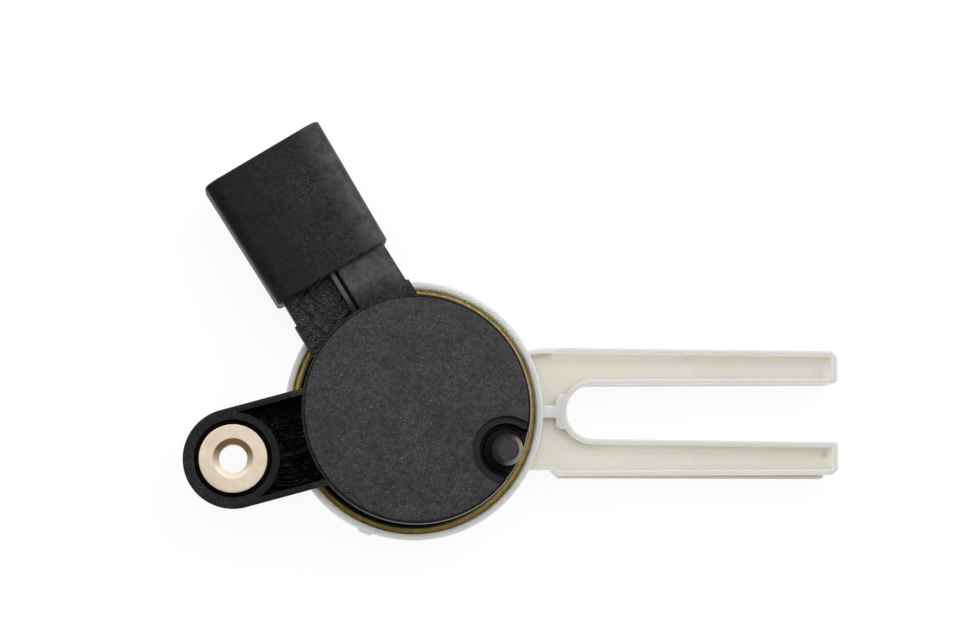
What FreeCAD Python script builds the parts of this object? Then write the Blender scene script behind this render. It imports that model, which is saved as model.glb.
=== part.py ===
import FreeCAD, Part
import math
import os

V = FreeCAD.Vector
ORIGIN = V(0, 0, 0)
UP = V(0, 0, 1)

# Overlap of shapes that are fused into one moulding, and overrun of shapes that cut
OVERLAP = 0.5
OVERRUN = 1.0

# Sensor drum, in millimetres: the swing axis is Z and the bracket face is at Z 0
DRUM_R = 21.9
DRUM_WALL = 2.0
LIP_TOP = -0.4
LIP_EDGE = 0.12
FLOOR_TOP = -9.5
FLOOR_THICK = 1.5
SKIRT_LOW = -15.0
SKIRT_WALL = 1.8

# Front cover, its seat and the sealing bead under it
LIP_WALL = 0.45
COVER_GAP = 0.1
COVER_THICK = 2.0
COVER_EDGE = 0.25
BEAD_INSET = 0.4
BEAD_WIDE = 0.6
BEAD_DEEP = 0.5
BEAD_PEG_R = 5.8

# Locating peg and the pocket around it
PEG_INSET = 3.15
PEG_ANGLE = -24.3
PEG_R = 3.0
PEG_TOP = 3.0
PEG_EDGE = 0.9
PEG_RING_R = 4.3
PEG_RING_EDGE = 0.25
PEG_RING_TOP = -2.0
POCKET_R = 5.1
POCKET_FLOOR = -2.7
STEP_R = 6.5
STEP_DEEP = 0.9
COLUMN_R = 7.4

# Mounting ear and its steel bush
EAR_REACH = 36.0
EAR_ANGLE = 195.3
EAR_R = 9.5
EAR_TOP = -0.6
EAR_LOW = -7.5
EAR_EDGE = 0.45
WEB_TOP = -5.5
WEB_SIDE = 1.2
WEB_RIB_Y = 1.5
WEB_RIB_WIDE = 0.8
WEB_RIB_RISE = 0.8
BOSS_R = 8.8
BUSH_R = 6.44
BUSH_LOW = -7.6
BUSH_HOLE_R = 2.7
BUSH_MOUTH_R = 3.76
BUSH_EDGE = 0.25
GROOVE_R = 7.4
GROOVE_DEEP = 2.6

# Neck between the drum and the connector; x runs outward along it before it is turned
NECK_ANGLE = 121.5
NECK_HALF = 11.05
NECK_LOW = -7.5
NECK_LEFT_TOP = -3.4
NECK_RIGHT_NEAR = -0.55
NECK_RIGHT_FAR = -1.7
NECK_SINK = 4.9
NECK_LONG = 8.6
COLLAR_RISE = 2.9
COLLAR_HALF = 11.55
COLLAR_LEFT = 3.6
RIDGE_Y = 0.35
RIDGE_WIDE = 0.9
RIDGE_TOP = -1.5
RIDGE_TRENCH = 0.6
GUSSET_Y = 6.5
GUSSET_WIDE = 1.5
GUSSET_GAP = 1.25

# Connector shroud
SHROUD_LONG = 26.7
SHROUD_HALF_ROOT = 12.15
SHROUD_HALF_MOUTH = 12.6
SHROUD_TOP = -0.3
SHROUD_LOW = -14.0
SHROUD_ROUND_TOP = 2.6
SHROUD_ROUND_LOW = 2.0
SHROUD_WALL = 1.8
SHROUD_EDGE = 0.35
BULKHEAD = 4.5
LATCH_BACK = 11.2
LATCH_LONG = 5.0
LATCH_WIDE = 6.0
LATCH_RISE = 1.6
KEY_Y = 6.5
KEY_WIDE = 1.4
KEY_RISE = 1.2
KEY_BACK = 2.0

# Contact blades, moulded into the neck
BLADE_COUNT = 3
BLADE_PITCH = 4.2
BLADE_WIDE = 1.5
BLADE_THICK = 0.64
BLADE_NOSE = 1.0
BLADE_SUNK = 9.2
BLADE_Z = -7.15
BLADE_NECK_Z = -5.0
BLADE_JOG_START = 1.0
BLADE_JOG_LONG = 2.5
BLADE_PIN_INSET = 4.7
BLADE_PIN_WIDE = 0.8
BLADE_PIN_LOW = -8.2

# Circuit board, its posts and what is soldered to it
BOARD_EDGE_GAP = 0.5
BOARD_TOP = -5.8
BOARD_THICK = 1.6
BOARD_GAP = 0.35
BOARD_PIN_GAP = 0.15
POST_INSET = 4.5
POST_ANGLES = (40.0, 185.0, 275.0)
POST_R = 2.2
STAKE_R = 0.9
STAKE_TOP = -5.1
CHIP_SHIFT = 1.35
CHIP_ANGLES = (60.0, 240.0)
CHIP_LONG = 5.0
CHIP_WIDE = 4.0
CHIP_THICK = 1.45
CAP_INSET = 4.8
CAP_LONG = 2.0
CAP_WIDE = 1.25

# Pivot pin, thrust washer and retaining clip
PIN_R = 3.0
PIN_LOW = -17.7
PIN_HEAD_R = 4.4
PIN_HEAD_TOP = -8.9
PIN_HEAD_THICK = 1.3
PIN_EDGE = 0.3
PIVOT_BOSS_R = 6.2
PIVOT_BOSS_TOP = -8.2
PIVOT_BOSS_LOW = -11.6
RUN_GAP = 0.03
END_GAP = 0.05
WASHER_R = 5.9
WASHER_THICK = 0.5
WASHER_GAP = 0.1
CLIP_R = 6.4
CLIP_THICK = 0.7
CLIP_SLOTS = 6
CLIP_SLOT_WIDE = 0.9
CLIP_SLOT_R = 4.9

# Lever: back plate, rim and hub
PLATE_LOW = -18.0
PLATE_TOP = -15.8
RIM_WALL = 1.2
RIM_TOP = -8.0
RIM_EDGE = 0.2
HUB_R = 11.2
RECESS_R = 8.0
RECESS_DEEP = 1.8
GATE_ANGLE = 248.0
GATE_LONG = 2.6
GATE_RISE = 0.5
GATE_LOW = -14.5
GATE_TOP = -9.5

# Magnet ring and flux ring in the hub
MAGNET_IN = 6.3
MAGNET_OUT = 9.6
MAGNET_TOP = -12.4
FLUX_THICK = 0.7
FLUX_LOW = -15.8

# Swing stops: a lug on the lever between two blocks in the drum
SWING = 45.0
STOP_DEEP = 3.5
LUG_GAP = 0.5
LUG_ANGLE = 90.0
LUG_HALF = 6.0
LUG_TOP = -12.4
STOP_LOW = -14.6
STOP_GAP = 0.8
STOP_SPAN = 10.0

# Fork arm: two channel-section tines with a slot between them
TIP_X = 83.0
TINE_HALF = 12.4
TINE_HALF_TIP = 12.1
TINE_WALL = 1.0
TINE_TOP = -8.6
TINE_EDGE = 0.25
TINE_CORNER = 1.1
MOUTH_CORNER = 0.7
NECK_SIDE = 11.3
UPPER_SIDE = 11.9
TINE_ROOT = 2.25
UPPER_RAMP = 2.8
FOOT_WIDE = 0.45
FOOT_TOP = -14.5
WEB_UPPER = -10.6
WEB_LOWER = -12.6
SLOT_ROOT = 4.65
SLOT_HALF_ROOT = 5.3
SLOT_HALF_TIP = 5.75
SLOT_WALL = 1.0
END_WALL = 1.0
SLOT_BLOCK = 1.9
SLOT_BLOCK_HALF = 3.3
SLOT_BLOCK_ROUND = 0.9
SPINE_WIDE = 2.3
MARK_X = 53.7
MARK_Y = 9.0
MARK_R = 1.5
MARK_DEEP = 0.12
DOT_X = 80.6
DOT_Y = -8.2
DOT_R = 0.6

# Return spring in the ring gap between drum and rim
WIRE_R = 0.62
WIRE_GAP = 0.305
KNEE_SWELL = 0.05
SPRING_HALF_TURNS = 7
SPRING_TOP = -9.65
SPRING_LOW = -14.95
SPRING_ANGLE = 195.0
LEG_SOCKET_R = 0.75
LEG_IN_DEEP = 1.15
LEG_OUT_DEEP = 0.55
LEG_END_GAP = 0.1


def cyl(r, low, top, x=0.0, y=0.0):
    """Upright cylinder about the point x, y."""
    return Part.makeCylinder(r, top - low, V(x, y, low))


def ring(r_in, r_out, low, top, x=0.0, y=0.0):
    """Upright ring about the point x, y."""
    return cyl(r_out, low, top, x, y).cut(cyl(r_in, low, top, x, y))


def box(x0, x1, y0, y1, low, top):
    """Block between two corners."""
    return Part.makeBox(x1 - x0, y1 - y0, top - low, V(x0, y0, low))


def prism(points, low, top):
    """Upright prism on a closed outline of x, y points."""
    wire = Part.makePolygon([V(x, y, low) for x, y in points + points[:1]])
    return Part.Face(wire).extrude(V(0, 0, top - low))


def side_prism(points, y0, y1):
    """Prism on a closed outline of x, z points, drawn out along Y."""
    wire = Part.makePolygon([V(x, y0, z) for x, z in points + points[:1]])
    return Part.Face(wire).extrude(V(0, y1 - y0, 0))


def sector(r_in, r_out, start, span, low, top):
    """Slice of an upright ring, from a start angle through a span, in degrees."""
    slab = Part.makeCylinder(r_out, top - low, V(0, 0, low), UP, span)
    slab.rotate(ORIGIN, UP, start)
    return slab.cut(cyl(r_in, low, top))


def turned(shape, angle):
    """The shape turned about the swing axis."""
    shape.rotate(ORIGIN, UP, angle)
    return shape


def polar(reach, angle):
    """The x, y point at a reach and an angle from the swing axis."""
    a = math.radians(angle)
    return reach * math.cos(a), reach * math.sin(a)


def rounded_section(x, half, low, top, r_low, r_top):
    """Closed outline across the connector at x, with round corners."""
    k = math.sqrt(0.5)
    corners = ((half, low, -1, 1, r_low), (half, top, -1, -1, r_top),
               (-half, top, 1, -1, r_top), (-half, low, 1, 1, r_low))
    arcs = []
    for index, (y, z, sy, sz, r) in enumerate(corners):
        mid = V(x, y + sy * r * (1 - k), z + sz * r * (1 - k))
        on_z = V(x, y, z + sz * r)
        on_y = V(x, y + sy * r, z)
        ends = (on_y, on_z) if index in (0, 2) else (on_z, on_y)
        arcs.append(Part.Arc(ends[0], mid, ends[1]))
    edges = []
    for index, arc in enumerate(arcs):
        edges.append(arc.toShape())
        edges.append(Part.makeLine(arc.EndPoint, arcs[(index + 1) % 4].StartPoint))
    return Part.Wire(edges)


def edges_at(shape, z, keep):
    """Edges of the shape that lie at height z and pass the test on their middle point."""
    found = []
    for edge in shape.Edges:
        flat = all(abs(v.Z - z) < 1e-4 for v in edge.Vertexes)
        middle = edge.valueAt((edge.FirstParameter + edge.LastParameter) / 2)
        if flat and abs(middle.z - z) < 1e-4 and keep(middle):
            found.append(edge)
    return found


# Radii and places that follow from the values above
CAVITY_R = DRUM_R - DRUM_WALL
SKIRT_R = DRUM_R - SKIRT_WALL
SEAT_R = DRUM_R - LIP_WALL
COVER_R = SEAT_R - COVER_GAP
COVER_SEAT = -COVER_THICK
BEAD_R = CAVITY_R + BEAD_INSET
PEG_X, PEG_Y = polar(DRUM_R - PEG_INSET, PEG_ANGLE)
FLOOR_LOW = FLOOR_TOP - FLOOR_THICK
SPRING_R = DRUM_R + WIRE_R + WIRE_GAP
SPRING_LOW_ANGLE = SPRING_ANGLE - 180 * SPRING_HALF_TURNS
RIM_IN = SPRING_R + WIRE_R + WIRE_GAP
PLATE_R = RIM_IN + RIM_WALL
LEG_IN = DRUM_R - LEG_IN_DEEP
LEG_OUT = RIM_IN + LEG_OUT_DEEP
NECK_ROOT = DRUM_R - NECK_SINK
COLLAR_R = DRUM_R + COLLAR_RISE
SHROUD_START = DRUM_R + NECK_LONG
SHROUD_END = SHROUD_START + SHROUD_LONG
BLADE_TIP = SHROUD_END - BLADE_SUNK
BLADE_JOG_IN = SHROUD_START + BLADE_JOG_START
BLADE_JOG_OUT = BLADE_JOG_IN + BLADE_JOG_LONG
BLADE_PIN_U = CAVITY_R - BLADE_PIN_INSET
BOARD_R = CAVITY_R - BOARD_EDGE_GAP
BOARD_LOW = BOARD_TOP - BOARD_THICK
POST_REACH = CAVITY_R - POST_INSET
CHIP_REACH = (MAGNET_IN + MAGNET_OUT) / 2 + CHIP_SHIFT
CAP_REACH = BLADE_PIN_U - CAP_INSET
STOP_IN = SKIRT_R - STOP_DEEP
LUG_OUT = SKIRT_R - LUG_GAP
TINE_START = PLATE_R + TINE_ROOT
SLOT_END = PLATE_R + SLOT_ROOT


def notch_solid(r, low):
    """Round pocket about the locating peg, open at the drum's edge, from a floor up to the bracket face."""
    run = box(0, DRUM_R, -r, r, low, 0)
    run.rotate(ORIGIN, UP, PEG_ANGLE)
    run.translate(V(PEG_X, PEG_Y, 0))
    return cyl(r, low, 0, PEG_X, PEG_Y).fuse(run).removeSplitter()


def blade_y(index):
    """Distance of one contact blade from the connector's middle line."""
    return (index - (BLADE_COUNT - 1) / 2) * BLADE_PITCH


def ear_solid():
    """Mounting ear with its sunk web, drawn along X and then turned into place."""
    lug = cyl(EAR_R, EAR_LOW, EAR_TOP, EAR_REACH, 0)
    lug = lug.fuse(box(0, EAR_REACH, -EAR_R, EAR_R, EAR_LOW, EAR_TOP)).removeSplitter()
    lug = lug.makeFillet(EAR_EDGE, edges_at(lug, EAR_TOP, lambda p: p.x > 1))
    half = EAR_R - WEB_SIDE
    sunk = box(0, EAR_REACH, -half, half, WEB_TOP, EAR_TOP)
    sunk = sunk.cut(cyl(BOSS_R, WEB_TOP, EAR_TOP, EAR_REACH, 0))
    rib_top = WEB_TOP + WEB_RIB_RISE
    rib_y = WEB_RIB_Y + WEB_RIB_WIDE
    sunk = sunk.cut(box(0, EAR_REACH, WEB_RIB_Y, rib_y, WEB_TOP, rib_top))
    lug = lug.cut(sunk)
    lug = lug.cut(cyl(GROOVE_R, EAR_TOP - GROOVE_DEEP, EAR_TOP, EAR_REACH, 0))
    lug = lug.cut(cyl(BUSH_R, EAR_LOW, EAR_TOP, EAR_REACH, 0))
    return turned(lug, EAR_ANGLE)


def neck_solid():
    """Neck with a low left half, a ramped right half and a ridge between them."""
    far = SHROUD_START + SHROUD_EDGE
    right = RIDGE_Y - RIDGE_WIDE / 2 - RIDGE_TRENCH
    left = RIDGE_Y + RIDGE_WIDE / 2
    base = box(NECK_ROOT, far, -NECK_HALF, NECK_HALF, NECK_LOW, NECK_LEFT_TOP)
    collar = box(NECK_ROOT, COLLAR_R, -COLLAR_HALF, COLLAR_HALF, NECK_LOW, NECK_LEFT_TOP)
    ramp_line = [(NECK_ROOT, NECK_LOW), (far, NECK_LOW), (far, NECK_RIGHT_FAR),
                 (DRUM_R, NECK_RIGHT_NEAR), (NECK_ROOT, NECK_RIGHT_NEAR)]
    ramp = side_prism(ramp_line, -NECK_HALF, right)
    apron_line = [(NECK_ROOT, NECK_LOW), (COLLAR_R, NECK_LOW), (COLLAR_R, NECK_RIGHT_NEAR),
                  (NECK_ROOT, NECK_RIGHT_NEAR)]
    apron = side_prism(apron_line, -COLLAR_HALF, right).common(cyl(COLLAR_R, NECK_LOW, 0))
    ridge = box(NECK_ROOT, far, left - RIDGE_WIDE, left, NECK_LOW, RIDGE_TOP)
    flank = box(NECK_ROOT, DRUM_R + COLLAR_LEFT, left, COLLAR_HALF, NECK_LOW, NECK_LEFT_TOP)
    shape = base.fuse([collar.common(cyl(COLLAR_R, NECK_LOW, 0)), flank, ramp, apron, ridge])
    gusset_line = [(PLATE_R + GUSSET_GAP, NECK_LOW), (far, NECK_LOW), (far, SHROUD_LOW + SHROUD_ROUND_LOW)]
    for y in (-GUSSET_Y, GUSSET_Y):
        shape = shape.fuse(side_prism(gusset_line, y - GUSSET_WIDE / 2, y + GUSSET_WIDE / 2))
    return turned(shape, NECK_ANGLE)


def shroud_solid():
    """Connector shroud, open at the far end, with a latch nose under it and keys inside."""
    def outline(x, half, inset):
        return rounded_section(x, half - inset, SHROUD_LOW + inset, SHROUD_TOP - inset,
                               SHROUD_ROUND_LOW, SHROUD_ROUND_TOP)
    root = SHROUD_START + SHROUD_EDGE
    mouth = SHROUD_END - SHROUD_EDGE
    outer = Part.makeLoft([outline(SHROUD_START, SHROUD_HALF_ROOT, SHROUD_EDGE),
                           outline(root, SHROUD_HALF_ROOT, 0),
                           outline(mouth, SHROUD_HALF_MOUTH, 0),
                           outline(SHROUD_END, SHROUD_HALF_MOUTH, SHROUD_EDGE)], True, True)
    inner_low = SHROUD_LOW + SHROUD_WALL
    inner_top = SHROUD_TOP - SHROUD_WALL
    r_low = SHROUD_ROUND_LOW - SHROUD_WALL / 2
    r_top = SHROUD_ROUND_TOP - SHROUD_WALL / 2
    inside = SHROUD_START + BULKHEAD
    hollow = Part.makeLoft([rounded_section(inside, SHROUD_HALF_ROOT - SHROUD_WALL,
                                            inner_low, inner_top, r_low, r_top),
                            rounded_section(SHROUD_END + OVERRUN, SHROUD_HALF_MOUTH - SHROUD_WALL,
                                            inner_low, inner_top, r_low, r_top)], True, True)
    shape = outer.cut(hollow)
    latch = SHROUD_END - LATCH_BACK
    nose_line = [(latch, SHROUD_LOW), (latch, SHROUD_LOW - LATCH_RISE), (latch + LATCH_LONG, SHROUD_LOW)]
    nose = side_prism(nose_line, -LATCH_WIDE / 2, LATCH_WIDE / 2)
    shape = shape.fuse(nose)
    for y in (-KEY_Y, KEY_Y):
        key = box(inside, mouth - KEY_BACK, y - KEY_WIDE / 2, y + KEY_WIDE / 2,
                  inner_low - KEY_RISE / 2, inner_low + KEY_RISE)
        shape = shape.fuse(key)
    return turned(shape, NECK_ANGLE)


def blade_solid(index):
    """Contact blade: socket end, jog in the bulkhead, neck run and board pin."""
    y = blade_y(index)
    h = BLADE_THICK / 2
    nose = BLADE_TIP - BLADE_NOSE
    line = [(BLADE_PIN_U - BLADE_PIN_WIDE / 2, BLADE_NECK_Z + h), (BLADE_JOG_IN + h, BLADE_NECK_Z + h),
            (BLADE_JOG_OUT + h, BLADE_Z + h), (nose, BLADE_Z + h), (BLADE_TIP, BLADE_Z + h / 3),
            (BLADE_TIP, BLADE_Z - h / 3), (nose, BLADE_Z - h), (BLADE_JOG_OUT, BLADE_Z - h),
            (BLADE_JOG_IN, BLADE_NECK_Z - h), (BLADE_PIN_U - BLADE_PIN_WIDE / 2, BLADE_NECK_Z - h)]
    blade = side_prism(line, y - BLADE_WIDE / 2, y + BLADE_WIDE / 2)
    pin = box(BLADE_PIN_U - BLADE_PIN_WIDE / 2, BLADE_PIN_U + BLADE_PIN_WIDE / 2,
              y - BLADE_PIN_WIDE / 2, y + BLADE_PIN_WIDE / 2, BLADE_PIN_LOW, BLADE_NECK_Z)
    return turned(blade.fuse(pin).removeSplitter(), NECK_ANGLE)


def bead_solid():
    """Sealing bead that runs round the cover's seat and inside the peg's pocket."""
    low = COVER_SEAT - BEAD_DEEP
    outer = cyl(BEAD_R + BEAD_WIDE, low, COVER_SEAT)
    outer = outer.cut(cyl(BEAD_PEG_R, low, COVER_SEAT, PEG_X, PEG_Y))
    inner = cyl(BEAD_R, low, COVER_SEAT)
    inner = inner.cut(cyl(BEAD_PEG_R + BEAD_WIDE, low, COVER_SEAT, PEG_X, PEG_Y))
    return outer.cut(inner)


def pivot_pin_solid():
    """Headed steel pin, its head buried in the drum's floor and its end below the hub."""
    head = cyl(PIN_HEAD_R, PIN_HEAD_TOP - PIN_HEAD_THICK, PIN_HEAD_TOP)
    shank = cyl(PIN_R, PIN_LOW, PIN_HEAD_TOP)
    shank = shank.makeChamfer(PIN_EDGE, edges_at(shank, PIN_LOW, lambda p: True))
    return head.fuse(shank).removeSplitter()


def spring_solid():
    """Torsion spring: rising half turns of wire in the ring gap, with an inner and an outer leg."""
    rise = (SPRING_TOP - SPRING_LOW) / SPRING_HALF_TURNS
    tilt = math.degrees(math.asin(rise / 2 / SPRING_R))
    halves = []
    for index in range(SPRING_HALF_TURNS):
        half = Part.makeTorus(SPRING_R, WIRE_R, ORIGIN, UP, 0, 360, 180)
        half.rotate(ORIGIN, V(0, 1, 0), tilt)
        half.translate(V(0, 0, SPRING_LOW + (index + 0.5) * rise))
        halves.append(turned(half, SPRING_LOW_ANGLE + 180 * index))
    top_x, top_y = polar(SPRING_R, SPRING_ANGLE)
    low_x, low_y = polar(SPRING_R, SPRING_LOW_ANGLE)
    leg_r = WIRE_R - KNEE_SWELL
    knee_r = WIRE_R + KNEE_SWELL
    top_at = V(top_x, top_y, SPRING_TOP)
    low_at = V(low_x, low_y, SPRING_LOW)
    legs = [Part.makeCylinder(leg_r, SPRING_R - LEG_IN, top_at, V(-top_x, -top_y, 0)),
            Part.makeCylinder(leg_r, LEG_OUT - SPRING_R, low_at, V(low_x, low_y, 0)),
            Part.makeSphere(knee_r, top_at), Part.makeSphere(knee_r, low_at)]
    return halves[0].fuse(halves[1:] + legs)


def housing_solid():
    """Black moulding: drum, ear, neck and connector shroud in one piece."""
    drum = cyl(DRUM_R, SKIRT_LOW, LIP_TOP)
    drum = drum.makeChamfer(LIP_EDGE, edges_at(drum, LIP_TOP, lambda p: True))
    shape = drum.fuse([ear_solid(), neck_solid(), shroud_solid()])
    shape = shape.cut([cyl(CAVITY_R, FLOOR_TOP, 0), cyl(SEAT_R, COVER_SEAT, 0),
                       cyl(SKIRT_R, SKIRT_LOW, FLOOR_LOW)])
    column = cyl(COLUMN_R, FLOOR_TOP, COVER_SEAT, PEG_X, PEG_Y).common(cyl(DRUM_R, FLOOR_TOP, COVER_SEAT))
    posts = [cyl(PIVOT_BOSS_R, PIVOT_BOSS_LOW, PIVOT_BOSS_TOP), column]
    for angle in POST_ANGLES:
        x, y = polar(POST_REACH, angle)
        posts.append(cyl(POST_R, FLOOR_TOP, BOARD_LOW, x, y))
        posts.append(cyl(STAKE_R, FLOOR_TOP, STAKE_TOP, x, y))
    stop_rest = LUG_ANGLE + LUG_HALF + STOP_GAP
    stop_full = LUG_ANGLE - LUG_HALF - SWING - STOP_GAP - STOP_SPAN
    for start in (stop_rest, stop_full):
        posts.append(sector(STOP_IN, SKIRT_R + OVERLAP, start, STOP_SPAN, STOP_LOW, FLOOR_LOW))
    shape = shape.fuse(posts)
    shape = shape.cut([notch_solid(STEP_R, -STEP_DEEP), notch_solid(POCKET_R, POCKET_FLOOR), bead_solid(),
                       pivot_pin_solid()])
    shape = shape.cut([blade_solid(i) for i in range(BLADE_COUNT)])
    peg_root = POCKET_FLOOR - OVERLAP
    peg = cyl(PEG_R, peg_root, PEG_TOP, PEG_X, PEG_Y)
    peg = peg.makeChamfer(PEG_EDGE, edges_at(peg, PEG_TOP, lambda p: True))
    foot = cyl(PEG_RING_R, peg_root, PEG_RING_TOP, PEG_X, PEG_Y)
    foot = foot.makeChamfer(PEG_RING_EDGE, edges_at(foot, PEG_RING_TOP, lambda p: True))
    shape = shape.fuse([peg, foot.common(cyl(DRUM_R, peg_root, 0))])
    top_x, top_y = polar(SPRING_R, SPRING_ANGLE)
    socket = Part.makeCylinder(LEG_SOCKET_R, SPRING_R - LEG_IN + LEG_END_GAP, V(top_x, top_y, SPRING_TOP),
                               V(-top_x, -top_y, 0))
    return shape.cut(socket).removeSplitter()


def cover_solid():
    """Front cover: a disc with a stepped notch for the locating peg."""
    disc = cyl(COVER_R, COVER_SEAT, 0)
    disc = disc.makeFillet(COVER_EDGE, edges_at(disc, 0, lambda p: True))
    return disc.cut([notch_solid(STEP_R, -STEP_DEEP), notch_solid(POCKET_R, COVER_SEAT)])


def bush_solid():
    """Steel bush in the ear, countersunk at its front end."""
    bush = cyl(BUSH_R, BUSH_LOW, 0)
    bush = bush.makeChamfer(BUSH_EDGE, bush.Edges[0:1] + bush.Edges[2:3])
    bush = bush.cut(cyl(BUSH_HOLE_R, BUSH_LOW, 0))
    depth = BUSH_MOUTH_R - BUSH_HOLE_R
    bush = bush.cut(Part.makeCone(BUSH_HOLE_R, BUSH_MOUTH_R, depth, V(0, 0, -depth)))
    bush.translate(V(EAR_REACH, 0, 0))
    return turned(bush, EAR_ANGLE)


def slot_solid(grow, low, top):
    """The slot between the tines, with its round end, grown outward by a wall."""
    root = SLOT_END + SLOT_HALF_ROOT
    half = SLOT_HALF_ROOT + grow
    tip_half = SLOT_HALF_TIP + grow
    far = TIP_X + OVERRUN
    flare = prism([(root, -half), (far, -tip_half), (far, tip_half), (root, half)], low, top)
    return flare.fuse(cyl(half, low, top, root, 0))


def fork_solid():
    """Fork arm with channels on both faces, a web between them and a wall round the slot."""
    cut = TINE_CORNER
    step = TINE_HALF - NECK_SIDE
    tip = [(TIP_X - cut, TINE_HALF_TIP), (TIP_X, TINE_HALF_TIP - cut)]
    upper = [(0, UPPER_SIDE), (PLATE_R - UPPER_RAMP, UPPER_SIDE), (PLATE_R, TINE_HALF)] + tip
    lower = [(0, NECK_SIDE), (TINE_START, NECK_SIDE), (TINE_START + step, TINE_HALF)] + tip
    shape = prism(upper + [(x, -y) for x, y in reversed(lower)], PLATE_LOW, TINE_TOP)
    wide = TINE_HALF + FOOT_WIDE
    foot_end = TIP_X - 2 * cut
    foot_half = [(TINE_START, NECK_SIDE), (TINE_START + wide - NECK_SIDE, wide), (foot_end, wide),
                 (foot_end + FOOT_WIDE, TINE_HALF), (foot_end + FOOT_WIDE, NECK_SIDE)]
    for sign in (-1, 1):
        shape = shape.fuse(prism([(x, sign * y) for x, y in foot_half], PLATE_LOW, FOOT_TOP))
    block_x = SLOT_END - SLOT_BLOCK
    wall = slot_solid(SLOT_WALL, PLATE_LOW, TINE_TOP)
    block = box(block_x, SLOT_END + SLOT_HALF_ROOT, -SLOT_BLOCK_HALF, SLOT_BLOCK_HALF, PLATE_LOW, TINE_TOP)
    corners = [e for e in block.Edges if abs(e.CenterOfMass.x - block_x) < 1e-6 and abs(e.CenterOfMass.y) > 1]
    block = block.makeFillet(SLOT_BLOCK_ROUND, corners)
    spine = box(0, block_x + OVERLAP, -SPINE_WIDE / 2, SPINE_WIDE / 2, PLATE_LOW, TINE_TOP)
    side = TINE_HALF - TINE_WALL
    tip_side = TINE_HALF_TIP - TINE_WALL
    root_side = UPPER_SIDE - TINE_WALL
    inner = [(0, root_side), (PLATE_R - UPPER_RAMP, root_side), (PLATE_R, side), (TIP_X - END_WALL, tip_side),
             (TIP_X - END_WALL, -tip_side), (TINE_START + step, -side), (0, -NECK_SIDE)]
    for low, top in ((WEB_UPPER, TINE_TOP), (PLATE_LOW, WEB_LOWER)):
        channel = prism(inner, low, top)
        channel = channel.cut([wall, block, spine])
        shape = shape.cut(channel)
    mouth_x = TIP_X - MOUTH_CORNER - OVERRUN
    mouth_y = SLOT_HALF_TIP - OVERRUN
    reach = MOUTH_CORNER + 2 * OVERRUN
    mouth = prism([(mouth_x, mouth_y), (mouth_x + reach, mouth_y + reach), (mouth_x + reach, mouth_y)],
                  PLATE_LOW, TINE_TOP)
    shape = shape.cut([slot_solid(0, PLATE_LOW, TINE_TOP), mouth]).removeSplitter()
    return shape.makeFillet(TINE_EDGE, edges_at(shape, TINE_TOP, lambda p: p.x > 1))


def lever_solid():
    """White moulding: back plate, rim, hub and fork arm in one piece."""
    plate = cyl(PLATE_R, PLATE_LOW, PLATE_TOP)
    rim = ring(RIM_IN, PLATE_R, PLATE_LOW, RIM_TOP)
    rim = rim.makeFillet(RIM_EDGE, edges_at(rim, RIM_TOP, lambda p: True))
    fork = fork_solid().cut(cyl(PLATE_R, PLATE_LOW, TINE_TOP))
    hub_top = PIVOT_BOSS_LOW - WASHER_THICK - END_GAP
    hub = cyl(HUB_R, PLATE_LOW, hub_top)
    lug = sector(STOP_IN, LUG_OUT, LUG_ANGLE - LUG_HALF, 2 * LUG_HALF, PLATE_LOW, LUG_TOP)
    gate_x, gate_y = polar(PLATE_R - OVERLAP, GATE_ANGLE)
    gate = box(0, GATE_RISE + OVERLAP, -GATE_LONG / 2, GATE_LONG / 2, GATE_LOW, GATE_TOP)
    gate.rotate(ORIGIN, UP, GATE_ANGLE)
    gate.translate(V(gate_x, gate_y, 0))
    shape = plate.fuse([rim, fork, hub, lug, gate])
    low_x, low_y = polar(SPRING_R, SPRING_LOW_ANGLE)
    socket = Part.makeCylinder(LEG_SOCKET_R, LEG_OUT - SPRING_R + LEG_END_GAP, V(low_x, low_y, SPRING_LOW),
                               V(low_x, low_y, 0))
    cuts = [cyl(PIN_R + RUN_GAP, PLATE_LOW, hub_top), cyl(RECESS_R, PLATE_LOW, PLATE_LOW + RECESS_DEEP),
            ring(MAGNET_IN, MAGNET_OUT, FLUX_LOW, hub_top), socket]
    for y in (-MARK_Y, MARK_Y):
        cuts.append(cyl(MARK_R, WEB_UPPER - MARK_DEEP, WEB_UPPER, MARK_X, y))
    cuts.append(cyl(DOT_R, WEB_UPPER - MARK_DEEP, WEB_UPPER, DOT_X, DOT_Y))
    return shape.cut(cuts).removeSplitter()


def washer_solid():
    """Thrust washer between the drum's pivot boss and the hub."""
    return ring(PIN_R + WASHER_GAP, WASHER_R, PIVOT_BOSS_LOW - WASHER_THICK, PIVOT_BOSS_LOW)


def clip_solid():
    """Push-on clip that keeps the lever on the pin, with slots between its teeth."""
    top = PLATE_LOW + RECESS_DEEP - END_GAP
    clip = ring(PIN_R, CLIP_R, top - CLIP_THICK, top)
    for index in range(CLIP_SLOTS):
        slot = box(0, CLIP_SLOT_R, -CLIP_SLOT_WIDE / 2, CLIP_SLOT_WIDE / 2, top - CLIP_THICK, top)
        clip = clip.cut(turned(slot, 360 / CLIP_SLOTS * index))
    return clip


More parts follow.
